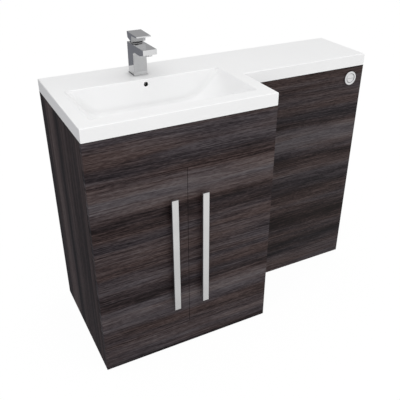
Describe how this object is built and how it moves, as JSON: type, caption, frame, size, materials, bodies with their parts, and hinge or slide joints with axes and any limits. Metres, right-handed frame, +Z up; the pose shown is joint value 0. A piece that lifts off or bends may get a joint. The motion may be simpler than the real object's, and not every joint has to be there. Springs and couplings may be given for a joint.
{
  "type": "toilet and basin combination unit",
  "caption": "Basin cabinet with doors and bar handles beside a shallow cistern cabinet, under an L-shaped white basin top with a square mixer and a round flush button.",
  "frame": {"origin": "on the floor, in the middle of the footprint's box", "axes": "+X along the front from the basin to the cistern, +Y towards the wall, +Z up"},
  "size_m": [1.1, 0.472, 0.983],
  "materials": {
    "cast_basin": "gloss white gel coat",
    "laminate_fronts": "matt laminate with a streaked grain along the width",
    "laminate_sides": "matt laminate with an upright grain",
    "board": "matt melamine-faced board",
    "beech": "plain turned dowel",
    "chrome": "polished plating",
    "satin_bar": "satin",
    "zinc_steel": "zinc plated",
    "dark_collar": "dark satin",
    "brass_fixings": "machined",
    "white_plastic": "moulded",
    "blue_plastic": "moulded",
    "clear_bumper": "soft clear",
    "black_rubber": "moulded",
    "red_seal": "silicone on a plastic stem",
    "tube_plastic": "extruded tube"
  },
  "bodies": {
    "cabinet": {"basin_top": "cast_basin", "left_side_panel": "laminate_sides", "middle_side_panel": "laminate_sides", "base_panel": "board", "front_rail": "board", "vanity_back_rails": "board", "fascia_panel": "laminate_fronts", "plinth_panel": "laminate_fronts", "front_battens": "board", "wc_left_panel": "laminate_sides", "wc_right_panel": "laminate_sides", "wc_front_panel": "laminate_fronts", "wc_back_rails": "board", "cistern_shelf": "board", "carcass_dowels": "beech", "joining_bolts": "zinc_steel", "hinge_arms": "zinc_steel", "hinge_plates": "zinc_steel", "hinge_plate_screws": "zinc_steel", "door_bumpers": "clear_bumper", "tap_base_plate": "chrome", "tap_body": "chrome", "tap_aerator": "chrome", "tap_cartridge": "white_plastic", "tap_collar": "dark_collar", "tap_fixings": "brass_fixings", "waste_body": "chrome", "waste_seals": "black_rubber", "waste_nut": "zinc_steel", "cistern_tank": "white_plastic", "cistern_lid": "white_plastic", "fill_valve": "white_plastic", "flush_valve": "white_plastic", "valve_nuts": "white_plastic", "flush_pipe": "white_plastic", "flush_cone": "black_rubber", "button_housing": "chrome", "button_nut": "white_plastic", "air_cells": "white_plastic", "air_tubes": "tube_plastic"},
    "left_leaf": {"left_door": "laminate_fronts", "left_handle": "satin_bar", "left_door_screws": "zinc_steel", "left_hinge_cups": "zinc_steel", "left_hinge_pins": "zinc_steel"},
    "right_leaf": {"right_door": "laminate_fronts", "right_handle": "satin_bar", "right_door_screws": "zinc_steel", "right_hinge_cups": "zinc_steel", "right_hinge_pins": "zinc_steel"},
    "mixer_turret": {"cartridge_turret": "white_plastic", "lever_pivot_pin": "zinc_steel"},
    "mixer_lever": {"tap_lever": "chrome", "lever_stem": "zinc_steel", "lever_grub_screw": "zinc_steel"},
    "plug": {"waste_plug": "chrome"},
    "full_button": {"flush_button_full": "chrome"},
    "half_button": {"flush_button_half": "chrome"},
    "seal": {"flush_seal": "red_seal"},
    "float": {"fill_float": "blue_plastic"}
  },
  "joints": [
    {"name": "left_door_hinge", "type": "hinge", "parent": "cabinet", "child": "left_leaf", "pos_m": [-0.5432, -0.206, 0.382], "axis": [0, 0, -1], "range_deg": [0, 95]},
    {"name": "right_door_hinge", "type": "hinge", "parent": "cabinet", "child": "right_leaf", "pos_m": [0.0432, -0.206, 0.382], "axis": [0, 0, 1], "range_deg": [0, 95]},
    {"name": "mixer_turn", "type": "hinge", "parent": "cabinet", "child": "mixer_turret", "pos_m": [-0.25, 0.1417, 0.945], "axis": [0, 0, 1], "range_deg": [-45, 45]},
    {"name": "mixer_lift", "type": "hinge", "parent": "mixer_turret", "child": "mixer_lever", "pos_m": [-0.25, 0.1417, 0.946], "axis": [-1, 0, 0], "range_deg": [0, 25]},
    {"name": "plug_lift", "type": "slide", "parent": "cabinet", "child": "plug", "axis": [0, 0, 1], "range_m": [0, 0.008]},
    {"name": "full_button_push", "type": "slide", "parent": "cabinet", "child": "full_button", "axis": [0, 1, 0], "range_m": [0, 0.004], "stiffness_N_per_m": 600},
    {"name": "half_button_push", "type": "slide", "parent": "cabinet", "child": "half_button", "axis": [0, 1, 0], "range_m": [0, 0.004], "stiffness_N_per_m": 600},
    {"name": "seal_rise", "type": "slide", "parent": "cabinet", "child": "seal", "axis": [0, 0, 1], "range_m": [0, 0.025]},
    {"name": "float_rise", "type": "slide", "parent": "cabinet", "child": "float", "axis": [0, 0, 1], "range_m": [0, 0.06]}
  ],
  "couplings": [
    {"joint": "full_button_push", "follows": "seal_rise", "ratio": 0.16}
  ]
}
